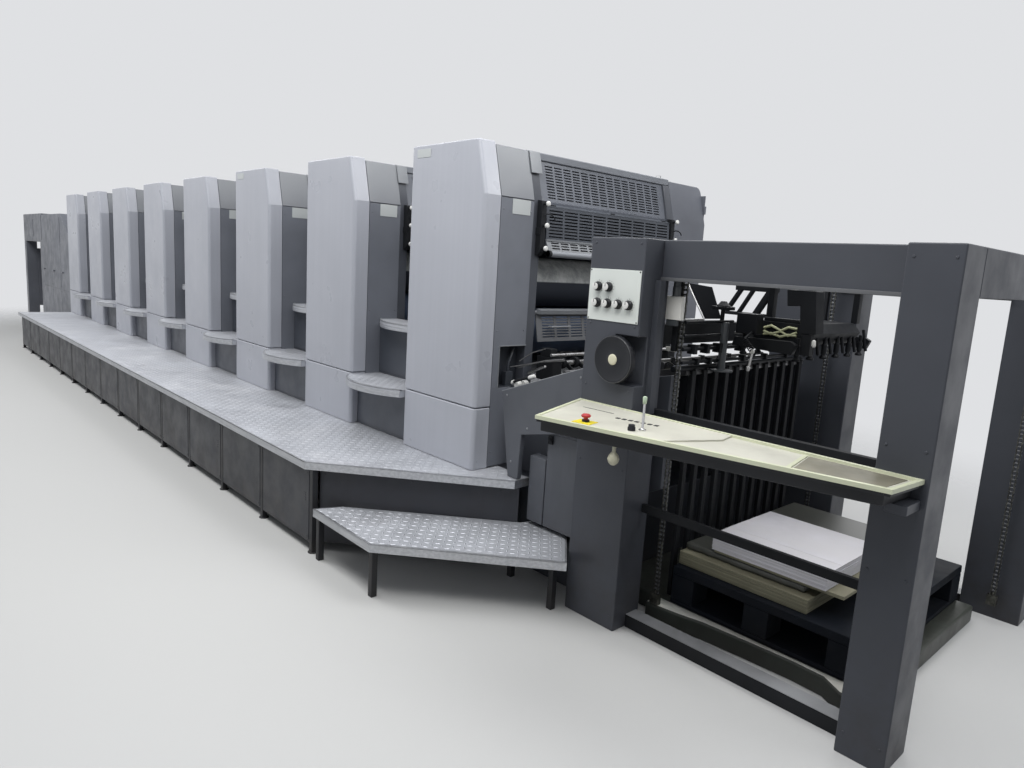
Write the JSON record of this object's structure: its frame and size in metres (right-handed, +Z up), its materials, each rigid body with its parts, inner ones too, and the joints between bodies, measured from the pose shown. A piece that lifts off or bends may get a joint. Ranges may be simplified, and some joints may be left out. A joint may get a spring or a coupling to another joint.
{
  "type": "offset printing press",
  "caption": "Sheet-fed offset printing press with feeder, a row of tall printing units with stepped operator platform, and delivery",
  "frame": {"origin": "centre of the footprint, on the floor the press stands on", "axes": "+X along the press towards the feeder, +Y across it towards the drive side, +Z up"},
  "size_m": [14.63, 3.068, 2.087],
  "materials": {
    "base_grey": "satin paint, scuffed",
    "frame_grey": "satin paint",
    "housing_grey": "fine textured satin paint",
    "door_grey": "fine textured satin paint",
    "guard_grey": "satin paint",
    "cylinder_steel": "ground",
    "blanket": "matt",
    "panel_dark": "satin paint",
    "tread": "worn chequer plate",
    "ledge_alu": "satin",
    "steel_black": "satin paint",
    "board_steel": "brushed",
    "plate_beige": "worn paint",
    "control_white": "satin",
    "knob_black": "matt",
    "console_cream": "satin",
    "stop_red": "gloss",
    "chrome_part": "polished",
    "head_dark": "machined and painted",
    "chain_steel": "oiled",
    "pallet_dark": "matt",
    "paper_wrap": "wrapped stack",
    "paper_white": "uncoated",
    "pallet_wood": "sawn"
  },
  "bodies": {
    "body": {"base_castings": "base_grey", "side_frames": "frame_grey", "operator_housings": "housing_grey", "front_doors": "door_grey", "lower_covers": "door_grey", "drive_housings": "housing_grey", "top_covers": "housing_grey", "grille_panel_1": "guard_grey", "grille_panels": "guard_grey", "plate_guards": "guard_grey", "plate_cylinders": "cylinder_steel", "blanket_cylinders": "blanket", "impression_cylinders": "cylinder_steel", "transfer_drums": "cylinder_steel", "transfer_covers": "panel_dark", "delivery_side_covers": "panel_dark", "unit_steps": "tread", "inner_ledges": "ledge_alu", "platform_deck": "tread", "platform_frame": "steel_black", "skirt_panels": "panel_dark", "lower_step_deck": "tread", "lower_step_frame": "steel_black", "drive_platform": "tread", "feedboard": "board_steel", "infeed_side_covers": "housing_grey", "infeed_doors": "housing_grey", "infeed_guard": "guard_grey", "feeder_column": "housing_grey", "feeder_right_post": "housing_grey", "feeder_drive_posts": "housing_grey", "feeder_top_beams": "housing_grey", "feeder_guides": "steel_black", "feeder_floor_bars": "base_grey", "feeder_base": "plate_beige", "control_plate": "control_white", "console": "console_cream", "console_support": "steel_black", "stalk": "chrome_part", "suction_head": "head_dark", "lift_chains": "chain_steel", "delivery_housing": "housing_grey", "delivery_posts": "housing_grey", "delivery_hood": "housing_grey", "delivery_gate": "guard_grey", "delivery_pile": "pallet_wood"},
    "pile": {"pile_board": "pallet_dark", "paper_stack": "paper_wrap", "top_sheets": "paper_white"},
    "wheel": {"handwheel": "knob_black"},
    "stop": {"stop_button": "stop_red"},
    "guard": {"plate_guard_1": "guard_grey"},
    "knob_1": {"air_knob_1": "knob_black"},
    "knob_2": {"air_knob_2": "knob_black"},
    "knob_3": {"air_knob_3": "knob_black"},
    "knob_4": {"air_knob_4": "knob_black"},
    "knob_5": {"air_knob_5": "knob_black"},
    "knob_6": {"air_knob_6": "knob_black"}
  },
  "joints": [
    {"name": "pile_lift", "type": "slide", "parent": "body", "child": "pile", "axis": [0, 0, 1], "range_m": [0, 0.56]},
    {"name": "handwheel_turn", "type": "hinge", "parent": "body", "child": "wheel", "pos_m": [6.127, -0.862, 1.154], "axis": [0, -1, 0], "continuous": true},
    {"name": "guard_lift", "type": "hinge", "parent": "body", "child": "guard", "pos_m": [5.285, -0.001, 1.816], "axis": [0, -1, 0], "range_deg": [0, 70]},
    {"name": "stop_press", "type": "slide", "parent": "body", "child": "stop", "axis": [0, 0, -1], "range_m": [0, 0.006]},
    {"name": "air_valve_1", "type": "hinge", "parent": "body", "child": "knob_1", "pos_m": [5.999, -0.8603, 1.441], "axis": [0, -1, 0], "range_deg": [0, 270]},
    {"name": "air_valve_2", "type": "hinge", "parent": "body", "child": "knob_2", "pos_m": [6.054, -0.8603, 1.441], "axis": [0, -1, 0], "range_deg": [0, 270]},
    {"name": "air_valve_3", "type": "hinge", "parent": "body", "child": "knob_3", "pos_m": [5.999, -0.8603, 1.375], "axis": [0, -1, 0], "range_deg": [0, 270]},
    {"name": "air_valve_4", "type": "hinge", "parent": "body", "child": "knob_4", "pos_m": [6.054, -0.8603, 1.375], "axis": [0, -1, 0], "range_deg": [0, 270]},
    {"name": "air_valve_5", "type": "hinge", "parent": "body", "child": "knob_5", "pos_m": [6.109, -0.8603, 1.375], "axis": [0, -1, 0], "range_deg": [0, 270]},
    {"name": "air_valve_6", "type": "hinge", "parent": "body", "child": "knob_6", "pos_m": [6.164, -0.8603, 1.375], "axis": [0, -1, 0], "range_deg": [0, 270]}
  ]
}
